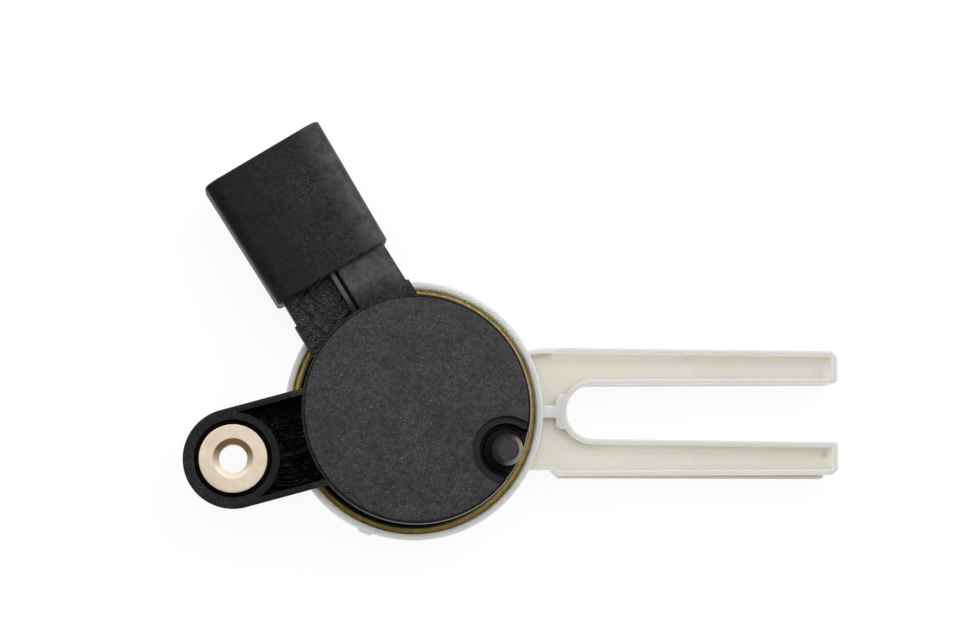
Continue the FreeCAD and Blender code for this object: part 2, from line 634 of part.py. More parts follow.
def board_solid():
    """Round circuit board, cut away at the peg's column, with holes for stakes and blade pins."""
    board = cyl(BOARD_R, BOARD_LOW, BOARD_TOP)
    board = board.cut(cyl(COLUMN_R + BOARD_GAP, BOARD_LOW, BOARD_TOP, PEG_X, PEG_Y))
    for angle in POST_ANGLES:
        x, y = polar(POST_REACH, angle)
        board = board.cut(cyl(STAKE_R + BOARD_PIN_GAP, BOARD_LOW, BOARD_TOP, x, y))
    half = BLADE_PIN_WIDE / 2 + BOARD_PIN_GAP
    for index in range(BLADE_COUNT):
        y = blade_y(index)
        hole = box(BLADE_PIN_U - half, BLADE_PIN_U + half, y - half, y + half, BOARD_LOW, BOARD_TOP)
        board = board.cut(turned(hole, NECK_ANGLE))
    return board


def chip_solid(index):
    """Hall sensor package under the board, above the magnet ring."""
    chip = box(CHIP_REACH - CHIP_WIDE / 2, CHIP_REACH + CHIP_WIDE / 2, -CHIP_LONG / 2, CHIP_LONG / 2,
               BOARD_LOW - CHIP_THICK, BOARD_LOW)
    return turned(chip, CHIP_ANGLES[index])


def capacitor_solid(index):
    """Filter capacitor on the board, in line with one contact blade."""
    y = blade_y(index)
    cap = box(CAP_REACH - CAP_LONG / 2, CAP_REACH + CAP_LONG / 2, y - CAP_WIDE / 2, y + CAP_WIDE / 2,
              BOARD_TOP, BOARD_TOP + CAP_WIDE)
    return turned(cap, NECK_ANGLE)


def main():
    """Build every piece and write it to its own file."""
    pieces = {
        "housing": housing_solid(),
        "front_cover": cover_solid(),
        "cover_seal": bead_solid(),
        "mounting_bush": bush_solid(),
        "fork_lever": lever_solid(),
        "return_spring": spring_solid(),
        "ring_magnet": ring(MAGNET_IN, MAGNET_OUT, FLUX_LOW + FLUX_THICK, MAGNET_TOP),
        "flux_ring": ring(MAGNET_IN, MAGNET_OUT, FLUX_LOW, FLUX_LOW + FLUX_THICK),
        "pivot_pin": pivot_pin_solid(),
        "thrust_washer": washer_solid(),
        "retaining_clip": clip_solid(),
        "circuit_board": board_solid(),
    }
    for index in range(len(CHIP_ANGLES)):
        pieces["hall_chip_%d" % (index + 1)] = chip_solid(index)
    for index in range(BLADE_COUNT):
        pieces["capacitor_%d" % (index + 1)] = capacitor_solid(index)
        pieces["contact_blade_%d" % (index + 1)] = blade_solid(index)
    os.makedirs("parts", exist_ok=True)
    for name, shape in pieces.items():
        shape.exportStep("parts/%s.step" % name)


main()
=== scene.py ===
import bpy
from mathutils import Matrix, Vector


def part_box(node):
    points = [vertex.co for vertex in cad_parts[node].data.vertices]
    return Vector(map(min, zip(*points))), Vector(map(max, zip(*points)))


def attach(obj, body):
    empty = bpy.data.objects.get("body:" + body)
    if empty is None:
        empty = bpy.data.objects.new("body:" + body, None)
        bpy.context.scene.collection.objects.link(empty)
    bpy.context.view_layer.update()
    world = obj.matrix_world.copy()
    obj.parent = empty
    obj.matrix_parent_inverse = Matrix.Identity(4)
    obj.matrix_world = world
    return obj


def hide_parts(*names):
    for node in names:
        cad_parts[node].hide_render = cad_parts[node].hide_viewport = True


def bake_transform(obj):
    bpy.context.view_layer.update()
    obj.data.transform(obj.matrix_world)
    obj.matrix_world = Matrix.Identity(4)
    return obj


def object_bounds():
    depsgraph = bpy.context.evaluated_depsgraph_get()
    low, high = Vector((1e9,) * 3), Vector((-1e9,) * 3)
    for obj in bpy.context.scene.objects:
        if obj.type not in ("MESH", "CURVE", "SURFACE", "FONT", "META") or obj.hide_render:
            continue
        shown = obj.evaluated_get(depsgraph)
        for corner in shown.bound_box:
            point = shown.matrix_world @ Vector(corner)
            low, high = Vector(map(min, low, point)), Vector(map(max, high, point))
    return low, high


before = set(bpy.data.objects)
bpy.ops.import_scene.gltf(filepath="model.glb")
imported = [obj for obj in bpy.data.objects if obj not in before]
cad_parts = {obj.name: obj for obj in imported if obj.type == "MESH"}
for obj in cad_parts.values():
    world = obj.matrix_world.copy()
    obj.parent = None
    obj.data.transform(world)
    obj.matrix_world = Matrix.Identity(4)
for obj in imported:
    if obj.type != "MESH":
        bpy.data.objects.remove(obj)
CAD_BOX = [list(corner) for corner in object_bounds()]

import math

import bpy
import numpy as np
from mathutils import Matrix, Vector

bl_info = {
    "name": "Pedal Position Sensor",
    "version": (1, 0, 0),
    "blender": (4, 5, 0),
    "location": "View3D > Sidebar > Sensor",
    "description": "Dresses the pedal position sensor with finishes, a return spring and a studio stage",
    "category": "Object",
}

# Directions on the housing, in degrees round the swing axis, and the peg's place in metres
EAR_ANGLE = 195.3
NECK_ANGLE = 121.5
NECK_SIDE = 211.5
PEG_ANGLE = math.radians(-24.3)
PEG_REACH = 0.01875
PEG_AT = (PEG_REACH * math.cos(PEG_ANGLE), PEG_REACH * math.sin(PEG_ANGLE), 0.0)

# Zones of the housing's finish, in metres: along the ear
EAR_SUNK = (0.0215, 0.0460)
EAR_SUNK_UP = (-0.0058, -0.0014)
EAR_RAILS = (0.0222, 0.0228)
EAR_RAILS_FADE = (0.0290, 0.0400)
# Along the neck, across it and up
NECK_ROOT = (0.0150, 0.0160)
NECK_OUT = (0.0232, 0.0262)
NECK_STOP = (0.0304, 0.0306)
RAMP_ACROSS = (-0.0120, -0.0011)
RAMP_UP = (-0.0019, -0.0004)
RIDGE_ACROSS = (0.0, 0.0007)
RIDGE_UP = (-0.0017, -0.0013)
RIDGE_GAIN = 1.6
SHROUD_START = (0.0304, 0.0308)
SHROUD_EDGE = (-0.0108, -0.0062)
SHROUD_ACROSS = (-0.0050, 0.0085)
SHROUD_ALONG = (0.0460, 0.0600)
# The drum's lip, with a painted highlight on the side that points along LIP_TURN
LIP_OUT = (0.02178, 0.02195)
LIP_UP = (-0.0030, 0.0)
LIP_TURN = -30.0
LIP_RUN = (-0.008, 0.016)
# The peg and the notch round it, out from the peg's axis and up
NOTCH_OUT = (0.0072, 0.0076)
NOTCH_UP = (-0.0009, -0.0006)
PEG_SHOULDER = (0.0022, 0.0030)
PEG_CROWN = (0.0015, 0.0024)
PEG_UP = (0.0018, 0.0021)
PEG_TURN = -20.0
PEG_RUN = (0.0, 0.0022)
# The cover's step at the notch, which takes painted shade
COVER_STEP = (-0.0006, -0.00035)

# Zones of the lever's finish, in metres; the angles are directions in degrees
UPWARD = (0.6, 0.9)
LEVER_TOP = (-0.0098, -0.0087)
WALL_TURN = 230.0
RIM_TURN = 245.0
RIM_RUN = (0.006, 0.020)
RIM_OUT = (0.0236, 0.0238)
RIM_STOP = (0.0200, 0.0250)
CREST_START = (0.0256, 0.0290)
CREST_UP = (-0.0098, -0.0090)
LOWER_TINE_WALL = (-0.0067, -0.0064)
LOWER_TINE_START = (0.0310, 0.0400)
UPPER_TINE_WALL = (0.0098, 0.0113)
TINE_END = (0.0802, 0.0819)
TINE_SPAN = (0.0272, 0.0821)
TINE_FLOOR_UP = (-0.0105, -0.0103)
GROOVE_OUT = (0.0214, 0.0237)
GROOVE_UP = (-0.0153, -0.0148)
FORK_RUN = (0.030, 0.060)
# Mould marks in the fork's floor: place, radius and tone
MOULD_MARKS = (((0.0537, 0.0090, -0.0106), 0.0015, 1.03),
               ((0.0537, -0.0090, -0.0106), 0.0015, 1.03),
               ((0.0806, -0.0082, -0.0106), 0.0006, 0.86))

# The bush's countersunk mouth and its painted sheen, and the darker side of its face
MOUTH_R = 0.00376
MOUTH_EDGE = 0.00015
PAINTED_SHEEN_TURN = -95.0
PAINTED_SHEEN_RUN = (-0.0018, 0.0022)
DARKER_SIDE_TURN = 225.0
DARKER_SIDE_RUN = (0.0030, 0.0064)

# The spring's painted shadow on its inner side, where the drum stands before it, and a thin painted dark line
# beside the drum's lip
SHADE_TURN = 240.0
SHADE_RUN = (0.002, 0.018)
SHADE_OUT = (0.0226, 0.0229)
LINE_TURN = 305.0
LINE_RUN = (0.014, 0.021)
LINE_OUT = (0.0224, 0.0227)

# The span of noise that is spread over a whole change of tone, and the one for roughness
TONE_SPAN = (0.35, 0.65)
ROUGH_SPAN = (0.3, 0.7)
GRAIN_DEEP = 0.00006

# The two rough floors, in metres; levels in millimetres
DRUM_WALL = 0.02185
WEB_HALF = 0.00829
WEB_END = 0.0360
WEB_RING = 0.00882
WEB_LEVEL = -4.95
WEB_UNDER = -0.0056
NECK_NEAR = 0.00082
NECK_FAR = 0.01103
NECK_END = 0.03055
NECK_LEVEL = -3.37
NECK_UNDER = -0.0035
NECK_FADE = 0.0006
MM = 1000.0

# The stage
PHOTO_WIDE = 960.0
SENSOR_WIDE = 36.0
FLOOR_HALF = 3.0
FLOOR_GAP = 0.0002
FLOOR_GLOW = 0.90
WORLD_LIGHT = 0.70
LAMP_AIM = (0.0, 0.0, -0.01)

# Finishes of the inner pieces: colour, darker colour, roughness, metallic, noise scale
INNER_LOOKS = {
    "Seal Silicone": ((0.09, 0.09, 0.09), (0.06, 0.06, 0.06), 0.6, 0.0, 500.0),
    "Magnet Ferrite": ((0.06, 0.06, 0.065), (0.035, 0.035, 0.04), 0.5, 0.2, 900.0),
    "Plain Steel": ((0.62, 0.61, 0.59), (0.46, 0.45, 0.44), 0.34, 1.0, 600.0),
    "Washer Polymer": ((0.55, 0.54, 0.50), (0.47, 0.46, 0.42), 0.5, 0.0, 500.0),
    "Board Green": ((0.03, 0.15, 0.06), (0.02, 0.10, 0.04), 0.4, 0.0, 300.0),
    "Chip Black": ((0.03, 0.03, 0.03), (0.02, 0.02, 0.02), 0.5, 0.0, 900.0),
    "Capacitor Ceramic": ((0.42, 0.30, 0.18), (0.34, 0.23, 0.13), 0.45, 0.0, 900.0),
    "Contact Tin": ((0.72, 0.70, 0.66), (0.58, 0.56, 0.52), 0.30, 1.0, 700.0),
}

INNER_FINISH = {
    "cover_seal": "Seal Silicone",
    "ring_magnet": "Magnet Ferrite",
    "flux_ring": "Plain Steel",
    "pivot_pin": "Plain Steel",
    "retaining_clip": "Plain Steel",
    "thrust_washer": "Washer Polymer",
    "circuit_board": "Board Green",
    "hall_chip_1": "Chip Black",
    "hall_chip_2": "Chip Black",
    "capacitor_1": "Capacitor Ceramic",
    "capacitor_2": "Capacitor Ceramic",
    "capacitor_3": "Capacitor Ceramic",
    "contact_blade_1": "Contact Tin",
    "contact_blade_2": "Contact Tin",
    "contact_blade_3": "Contact Tin",
}


def colour_prop(name, description, default):
    """A colour property for the sidebar."""
    return bpy.props.FloatVectorProperty(name=name, description=description, default=default,
                                         subtype="COLOR", size=3, min=0.0, max=1.0)


def length_prop(name, description, default):
    """A length property in metres for the sidebar."""
    return bpy.props.FloatProperty(name=name, description=description, default=default,
                                   subtype="DISTANCE", unit="LENGTH", precision=5)


def angle_prop(name, description, degrees):
    """An angle property for the sidebar, given in degrees."""
    return bpy.props.FloatProperty(name=name, description=description, default=math.radians(degrees),
                                   subtype="ANGLE", unit="ROTATION")


class SensorFinish(bpy.types.PropertyGroup):
    """Colours of the sensor's finishes."""
    housing: colour_prop("Housing", "Black glass-filled moulding", (0.0070, 0.0068, 0.0073))
    cover: colour_prop("Cover", "Black cover moulding", (0.0085, 0.0080, 0.0087))
    lever: colour_prop("Lever", "Natural off-white moulding", (0.612, 0.607, 0.568))
    bush: colour_prop("Bush", "Pale yellow plated steel", (0.87, 0.755, 0.645))
    spring: colour_prop("Spring", "Yellow-brown spring wire", (0.64, 0.46, 0.15))


class SensorSpring(bpy.types.PropertyGroup):
    """Sizes of the return spring's coil."""
    radius: length_prop("Coil radius", "Middle of the wire to the swing axis", 0.022930)
    wire: length_prop("Wire radius", "Half the wire's thickness", 0.00069)
    top: length_prop("Top", "Height of the upper turn's middle", -0.00965)
    low: length_prop("Low", "Height of the lower turn's middle", -0.01495)
    turns: bpy.props.FloatProperty(name="Turns", description="Number of turns", default=3.5, min=1.0)
    start: angle_prop("Top angle", "Angle of the upper leg", 195.0)
    leg_in: length_prop("Inner leg", "Radius at the inner leg's end", 0.02085)
    leg_out: length_prop("Outer leg", "Radius at the outer leg's end", 0.0242)


class SensorStage(bpy.types.PropertyGroup):
    """Camera and floor."""
    eye: bpy.props.FloatVectorProperty(name="Camera", description="Place of the camera", size=3,
                                       subtype="XYZ", unit="LENGTH", default=(-0.028995, -0.021840, 0.5))
    pitch: angle_prop("Pitch", "Turn about X", 4.440)
    yaw: angle_prop("Yaw", "Turn about Y", -4.686)
    roll: angle_prop("Roll", "Turn about the line of sight", 0.056)
    focal_px: bpy.props.FloatProperty(name="Focal length", description="In pixels of a 960 wide picture",
                                      default=2637.16)
    floor: colour_prop("Floor", "Pale floor", (0.95, 0.95, 0.95))


def put_mesh(name, points, faces):
    """A smooth mesh object at the origin from an array of points and a list of faces."""
    mesh = bpy.data.meshes.new(name)
    mesh.from_pydata(points.tolist(), [], faces)
    mesh.polygons.foreach_set("use_smooth", np.ones(len(mesh.polygons), dtype=bool))
    mesh.update()
    obj = bpy.data.objects.new(name, mesh)
    bpy.context.scene.collection.objects.link(obj)
    return obj


def tube(path, radius, around=20):
    """Points and faces of a closed tube along a path.

    For each path point p with tangent t, two unit vectors a and b at right angles to t are found
    from the upward axis, and the skin is p + radius * (cos(phi) * a + sin(phi) * b).
    Each end is closed by a fan of triangles round the path's end point.
    """
    step = np.gradient(path, axis=0)
    tangent = step / np.linalg.norm(step, axis=1, keepdims=True)
    up = np.tile(np.array([0.0, 0.0, 1.0]), (len(path), 1))
    side = np.cross(tangent, up)
    side /= np.linalg.norm(side, axis=1, keepdims=True)
    rise = np.cross(side, tangent)
    phi = np.linspace(0.0, 2.0 * np.pi, around, endpoint=False)
    ring = np.cos(phi)[None, :, None] * side[:, None, :] + np.sin(phi)[None, :, None] * rise[:, None, :]
    skin = path[:, None, :] + radius * ring
    count = len(path)
    points = np.concatenate([skin.reshape(-1, 3), path[:1], path[-1:]])
    i, j = np.meshgrid(np.arange(count - 1), np.arange(around), indexing="ij")
    k = (j + 1) % around
    quads = np.stack([i * around + j, i * around + k, (i + 1) * around + k, (i + 1) * around + j], axis=-1)
    ring_j = np.arange(around)
    ring_k = (ring_j + 1) % around
    first = np.stack([ring_k, ring_j, np.full(around, count * around)], axis=-1)
    base = (count - 1) * around
    last = np.stack([base + ring_j, base + ring_k, np.full(around, count * around + 1)], axis=-1)
    return points, quads.reshape(-1, 4).tolist() + first.tolist() + last.tolist()


def slab(name, top, low):
    """Closed slab from two grids of points of one shape: top, underside and a wall round the edge."""
    rows, cols = top.shape[:2]
    points = np.concatenate([top.reshape(-1, 3), low.reshape(-1, 3)])
    i, j = np.meshgrid(np.arange(rows - 1), np.arange(cols - 1), indexing="ij")
    a = (i * cols + j).ravel()
    upper = np.stack([a, a + cols, a + cols + 1, a + 1], axis=1)
    lower = upper[:, ::-1] + rows * cols
    edge = np.concatenate([np.arange(cols), np.arange(1, rows) * cols + cols - 1,
                           (rows - 1) * cols + np.arange(cols - 2, -1, -1),
                           np.arange(rows - 2, 0, -1) * cols])
    after = np.roll(edge, -1)
    wall = np.stack([edge, after, after + rows * cols, edge + rows * cols], axis=1)
    return put_mesh(name, points, np.concatenate([upper, lower, wall]).tolist())


def turn_flat(x, y, z, angle):
    """Points with their first two coordinates turned about the swing axis by an angle in degrees."""
    c = math.cos(math.radians(angle))
    s = math.sin(math.radians(angle))
    return np.stack([x * c - y * s, x * s + y * c, z], axis=-1)


def wavy(u, v, slow, fast, count, seed):
    """Irregular waves of about unit height over u and v.

    The sum of sines of (a * u + b * v + c), where each (a, b) points in its own direction with a
    length between slow and fast, and c is its own phase, divided by the root of half their number.
    """
    pick = np.random.default_rng(seed)
    turn = pick.uniform(0.0, np.pi, count)
    pace = pick.uniform(slow, fast, count)
    shift = pick.uniform(0.0, 2.0 * np.pi, count)
    total = np.zeros_like(u)
    for t, k, c in zip(turn, pace, shift):
        total += np.sin(k * (np.cos(t) * u + np.sin(t) * v) + c)
    return total / math.sqrt(count / 2.0)


def web_floor():
    """The rippled floor of the ear's web.

    Each strip across the ear runs from the drum's wall, at the root of (wall radius squared minus
    across squared), to the ring round the bush, which is a circle about the ear's end. Its height
    is the level plus 0.17 mm times the sine of the drifting distance across, over a pitch of
    1.2 mm, plus 0.22 mm of irregular waves that are stretched along the ear.
    """
    across, run = np.meshgrid(np.linspace(-WEB_HALF, WEB_HALF, 150), np.linspace(0.0, 1.0, 110),
                              indexing="ij")
    start = np.sqrt(DRUM_WALL ** 2 - across ** 2)
    stop = WEB_END - np.sqrt(np.maximum(WEB_RING ** 2 - across ** 2, 0.0))
    x = start + (stop - start) * run
    u = x * MM
    v = across * MM
    drift = v + 0.5 * wavy(u, v, 0.5, 1.4, 10, 3)
    ripple = 0.17 * np.sin(2.0 * np.pi * drift / 1.2) + 0.22 * wavy(0.55 * u, v, 2.0, 6.0, 24, 5)
    top = turn_flat(x, across, (WEB_LEVEL + ripple) / MM, EAR_ANGLE)
    low = turn_flat(x, across, np.full_like(x, WEB_UNDER), EAR_ANGLE)
    return slab("ear_web_floor", top, low)


def neck_floor():
    """The lumpy floor of the neck's left half.

    Each strip along the neck runs from the drum's wall to the shroud. Its height is the level plus
    a fade times the sum of 0.12 mm, 0.11 mm of broad waves and 0.05 mm of small waves; the fade
    falls to 0 at the neck's outer edge and at the shroud.
    """
    across, run = np.meshgrid(np.linspace(NECK_NEAR, NECK_FAR, 130), np.linspace(0.0, 1.0, 130),
                              indexing="ij")
    start = np.sqrt(DRUM_WALL ** 2 - across ** 2)
    x = start + (NECK_END - start) * run
    u = x * MM
    v = across * MM
    lumps = 0.11 * wavy(u, v, 1.5, 5.0, 24, 11) + 0.05 * wavy(u, v, 6.0, 14.0, 32, 13)
    fade = np.clip(np.minimum(NECK_FAR - across, NECK_END - x) / NECK_FADE, 0.0, 1.0)
    top = turn_flat(x, across, (NECK_LEVEL + fade * (0.12 + lumps)) / MM, NECK_ANGLE)
    low = turn_flat(x, across, np.full_like(x, NECK_UNDER), NECK_ANGLE)
    return slab("neck_rough_floor", top, low)


def spring_path(size):
    """Middle line of the return spring.

    The coil is a helix: the angle falls by a full turn for each turn down from the top leg, and the
    height runs evenly from low to top. Each leg runs from the coil's end to its own radius while
    its angle moves on by 0.035 times the sine of a quarter turn.
    """
    share = np.linspace(0.0, 1.0, int(120 * size.turns))
    angle = size.start - 2.0 * np.pi * size.turns * (1.0 - share)
    coil = np.stack([size.radius * np.cos(angle), size.radius * np.sin(angle),
                     size.low + share * (size.top - size.low)], axis=1)

    def leg(at, reach, turn):
        """Leg from one end of the coil to a radius, without the coil's own point."""
        k = np.linspace(0.0, 1.0, 10)[1:]
        r = size.radius + (reach - size.radius) * k
        a = angle[at] + turn * 0.035 * np.sin(k * np.pi / 2)
        return np.stack([r * np.cos(a), r * np.sin(a), np.full(len(k), coil[at, 2])], axis=1)

    return np.concatenate([leg(0, size.leg_out, -1.0)[::-1], coil, leg(-1, size.leg_in, 1.0)])


def group(name, inputs, outputs):
    """An empty shader node group with named sockets."""
    tree = bpy.data.node_groups.new(name, "ShaderNodeTree")
    for label, kind, default in inputs:
        socket = tree.interface.new_socket(name=label, in_out="INPUT", socket_type=kind)
        if default is not None:
            socket.default_value = default
    for label, kind in outputs:
        tree.interface.new_socket(name=label, in_out="OUTPUT", socket_type=kind)
    return tree, tree.nodes.new("NodeGroupInput"), tree.nodes.new("NodeGroupOutput")


def object_point(tree):
    """Place of the shaded point in the object's own frame."""
    return tree.nodes.new("ShaderNodeTexCoord").outputs["Object"]


def object_normal(tree):
    """Direction of the surface in the object's own frame."""
    return tree.nodes.new("ShaderNodeTexCoord").outputs["Normal"]


def axes(tree, vector):
    """The three parts of a vector."""
    split = tree.nodes.new("ShaderNodeSeparateXYZ")
    tree.links.new(vector, split.inputs["Vector"])
    return split.outputs["X"], split.outputs["Y"], split.outputs["Z"]


def noise(tree, vector, scale, detail, rough):
    """Noise on the given vector, turned so that no flat face lies in its grid."""
    turned = tree.nodes.new("ShaderNodeMapping")
    turned.inputs["Location"].default_value = (0.137, 0.071, 0.053)
    turned.inputs["Rotation"].default_value = (0.62, 0.41, 0.33)
    tree.links.new(vector, turned.inputs["Vector"])
    node = tree.nodes.new("ShaderNodeTexNoise")
    node.inputs["Scale"].default_value = scale
    node.inputs["Detail"].default_value = detail
    node.inputs["Roughness"].default_value = rough
    tree.links.new(turned.outputs["Vector"], node.inputs["Vector"])
    return node.outputs["Fac"]


def math_node(tree, operation, a, b):
    """A math node on sockets or plain numbers."""
    node = tree.nodes.new("ShaderNodeMath")
    node.operation = operation
    for index, value in enumerate((a, b)):
        if isinstance(value, (int, float)):
            node.inputs[index].default_value = value
        else:
            tree.links.new(value, node.inputs[index])
    return node.outputs[0]


def product(tree, first, *others):
    """Masks or numbers multiplied together."""
    for other in others:
        first = math_node(tree, "MULTIPLY", first, other)
    return first


def highest(tree, first, *others):
    """The largest of several masks."""
    for other in others:
        first = math_node(tree, "MAXIMUM", first, other)
    return first


def blend_sum(tree, a, a_share, b, b_share):
    """Two values added, each times its share."""
    return math_node(tree, "ADD", product(tree, a, a_share), product(tree, b, b_share))


def remap(tree, value, span, to_low, to_high):
    """A clamped map range node from a span to two values."""
    node = tree.nodes.new("ShaderNodeMapRange")
    tree.links.new(value, node.inputs["Value"])
    numbers = (("From Min", span[0]), ("From Max", span[1]), ("To Min", to_low), ("To Max", to_high))
    for label, number in numbers:
        node.inputs[label].default_value = number
    return node.outputs["Result"]


def rising(tree, value, span, top=1.0):
    """Mask that rises from 0 to its top over a span."""
    return remap(tree, value, span, 0.0, top)


def falling(tree, value, span, top=1.0):
    """Mask that falls from its top to 0 over a span."""
    return remap(tree, value, span, top, 0.0)


def between(tree, value, span, soft):
    """Mask that is 1 within a span and fades to 0 over a soft width on both sides."""
    low, high = span
    return product(tree, rising(tree, value, (low - soft, low)), falling(tree, value, (high, high + soft)))


def along(tree, vector, angle):
    """Distance of a point along the flat direction at an angle in degrees."""
    node = tree.nodes.new("ShaderNodeVectorMath")
    node.operation = "DOT_PRODUCT"
    node.inputs[1].default_value = (math.cos(math.radians(angle)), math.sin(math.radians(angle)), 0.0)
    tree.links.new(vector, node.inputs[0])
    return node.outputs["Value"]


def flatten(tree, vector):
    """A vector without its upright part."""
    node = tree.nodes.new("ShaderNodeVectorMath")
    node.operation = "MULTIPLY"
    node.inputs[1].default_value = (1.0, 1.0, 0.0)
    tree.links.new(vector, node.inputs[0])
    return node.outputs["Vector"]


def distance(tree, vector, place):
    """Distance of a point from a fixed place."""
    node = tree.nodes.new("ShaderNodeVectorMath")
    node.operation = "DISTANCE"
    node.inputs[1].default_value = place
    tree.links.new(vector, node.inputs[0])
    return node.outputs["Value"]


def from_axis(tree, vector):
    """Distance of a point from the upright axis."""
    return distance(tree, flatten(tree, vector), (0.0, 0.0, 0.0))


def mix_colour(tree, factor, a, b):
    """A colour mix node; a and b are sockets or colours."""
    node = tree.nodes.new("ShaderNodeMix")
    node.data_type = "RGBA"
    tree.links.new(factor, node.inputs["Factor"])
    for label, value in (("A", a), ("B", b)):
        socket = [s for s in node.inputs if s.name == label and s.type == "RGBA"][0]
        if isinstance(value, tuple):
            socket.default_value = (*value, 1.0)
        else:
            tree.links.new(value, socket)
    return [s for s in node.outputs if s.type == "RGBA"][0]


def scaled(colour, *factors, cap=1.0):
    """A colour times one factor or three, each channel up to a cap."""
    each = factors * 3 if len(factors) == 1 else factors
    return tuple(min(cap, c * k) for c, k in zip(colour, each))


def moulded_grain_group():
    """Fine spark-eroded grain: specks, clouds, pale dust, roughness and height from noise and cells."""
    tree, enter, leave = group("Moulded Grain",
                               [("Colour", "NodeSocketColor", (0.05, 0.05, 0.05, 1.0)),
                                ("Speck", "NodeSocketColor", (0.12, 0.12, 0.12, 1.0)),
                                ("Roughness", "NodeSocketFloat", 0.5)],
                               [("Colour", "NodeSocketColor"), ("Roughness", "NodeSocketFloat"),
                                ("Height", "NodeSocketFloat")])
    coord = object_point(tree)
    fine = noise(tree, coord, 3000.0, 2.0, 0.65)
    middle = noise(tree, coord, 1300.0, 3.0, 0.6)
    drift = noise(tree, coord, 620.0, 3.0, 0.6)
    broad = noise(tree, coord, 160.0, 3.0, 0.55)
    speck = rising(tree, fine, (0.47, 0.72))
    mottle = remap(tree, math_node(tree, "ADD", middle, broad), (0.75, 1.25), 0.25, 1.0)
    cloud = rising(tree, blend_sum(tree, middle, 0.5, drift, 0.5), (0.42, 0.62), 0.28)
    pale = highest(tree, product(tree, speck, mottle), cloud)
    tint = mix_colour(tree, pale, enter.outputs["Colour"], enter.outputs["Speck"])
    cells = tree.nodes.new("ShaderNodeTexVoronoi")
    cells.inputs["Scale"].default_value = 700.0
    tree.links.new(coord, cells.inputs["Vector"])
    lot = tree.nodes.new("ShaderNodeSeparateColor")
    tree.links.new(cells.outputs["Color"], lot.inputs["Color"])
    dust = product(tree, falling(tree, cells.outputs["Distance"], (0.05, 0.10), 0.8),
                   rising(tree, lot.outputs["Red"], (0.76, 0.80)))
    tree.links.new(mix_colour(tree, dust, tint, (0.20, 0.20, 0.21)), leave.inputs["Colour"])
    sway = remap(tree, broad, ROUGH_SPAN, -0.07, 0.07)
    tree.links.new(math_node(tree, "ADD", enter.outputs["Roughness"], sway), leave.inputs["Roughness"])
    tree.links.new(blend_sum(tree, middle, 0.8, fine, 0.6), leave.inputs["Height"])
    return tree


